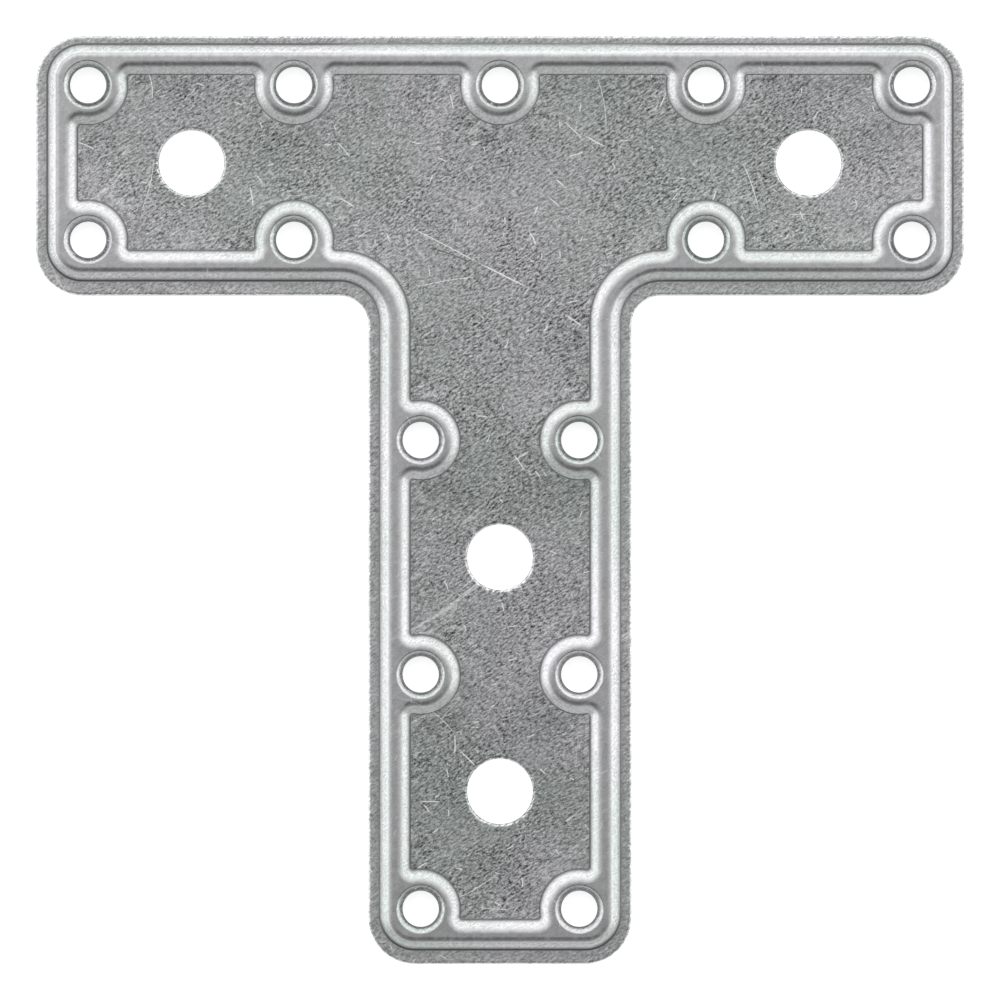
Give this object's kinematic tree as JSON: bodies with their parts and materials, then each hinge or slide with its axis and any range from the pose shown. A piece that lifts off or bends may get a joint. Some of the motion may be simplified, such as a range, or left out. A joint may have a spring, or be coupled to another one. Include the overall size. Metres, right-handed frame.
{
  "type": "t-shaped joining plate",
  "caption": "Flat T-shaped joining plate of pressed sheet steel, with a raised bead round its outline, countersunk screw pads along the bead and plain bolt holes in the panel.",
  "frame": {"origin": "middle of the outline's bounding box, on the flat back face", "axes": "+Z out of the raised front face, +X along the crossbar, +Y from the stem towards the crossbar"},
  "size_m": [0.12, 0.12, 0.0023],
  "materials": {
    "zinc_plated_steel": "bright zinc-plated sheet steel, satin and finely speckled on the panel, brighter on the bead's flanks, with handling scratches"
  },
  "bodies": {
    "root": {"joining_plate": "zinc_plated_steel"}
  },
  "joints": []
}
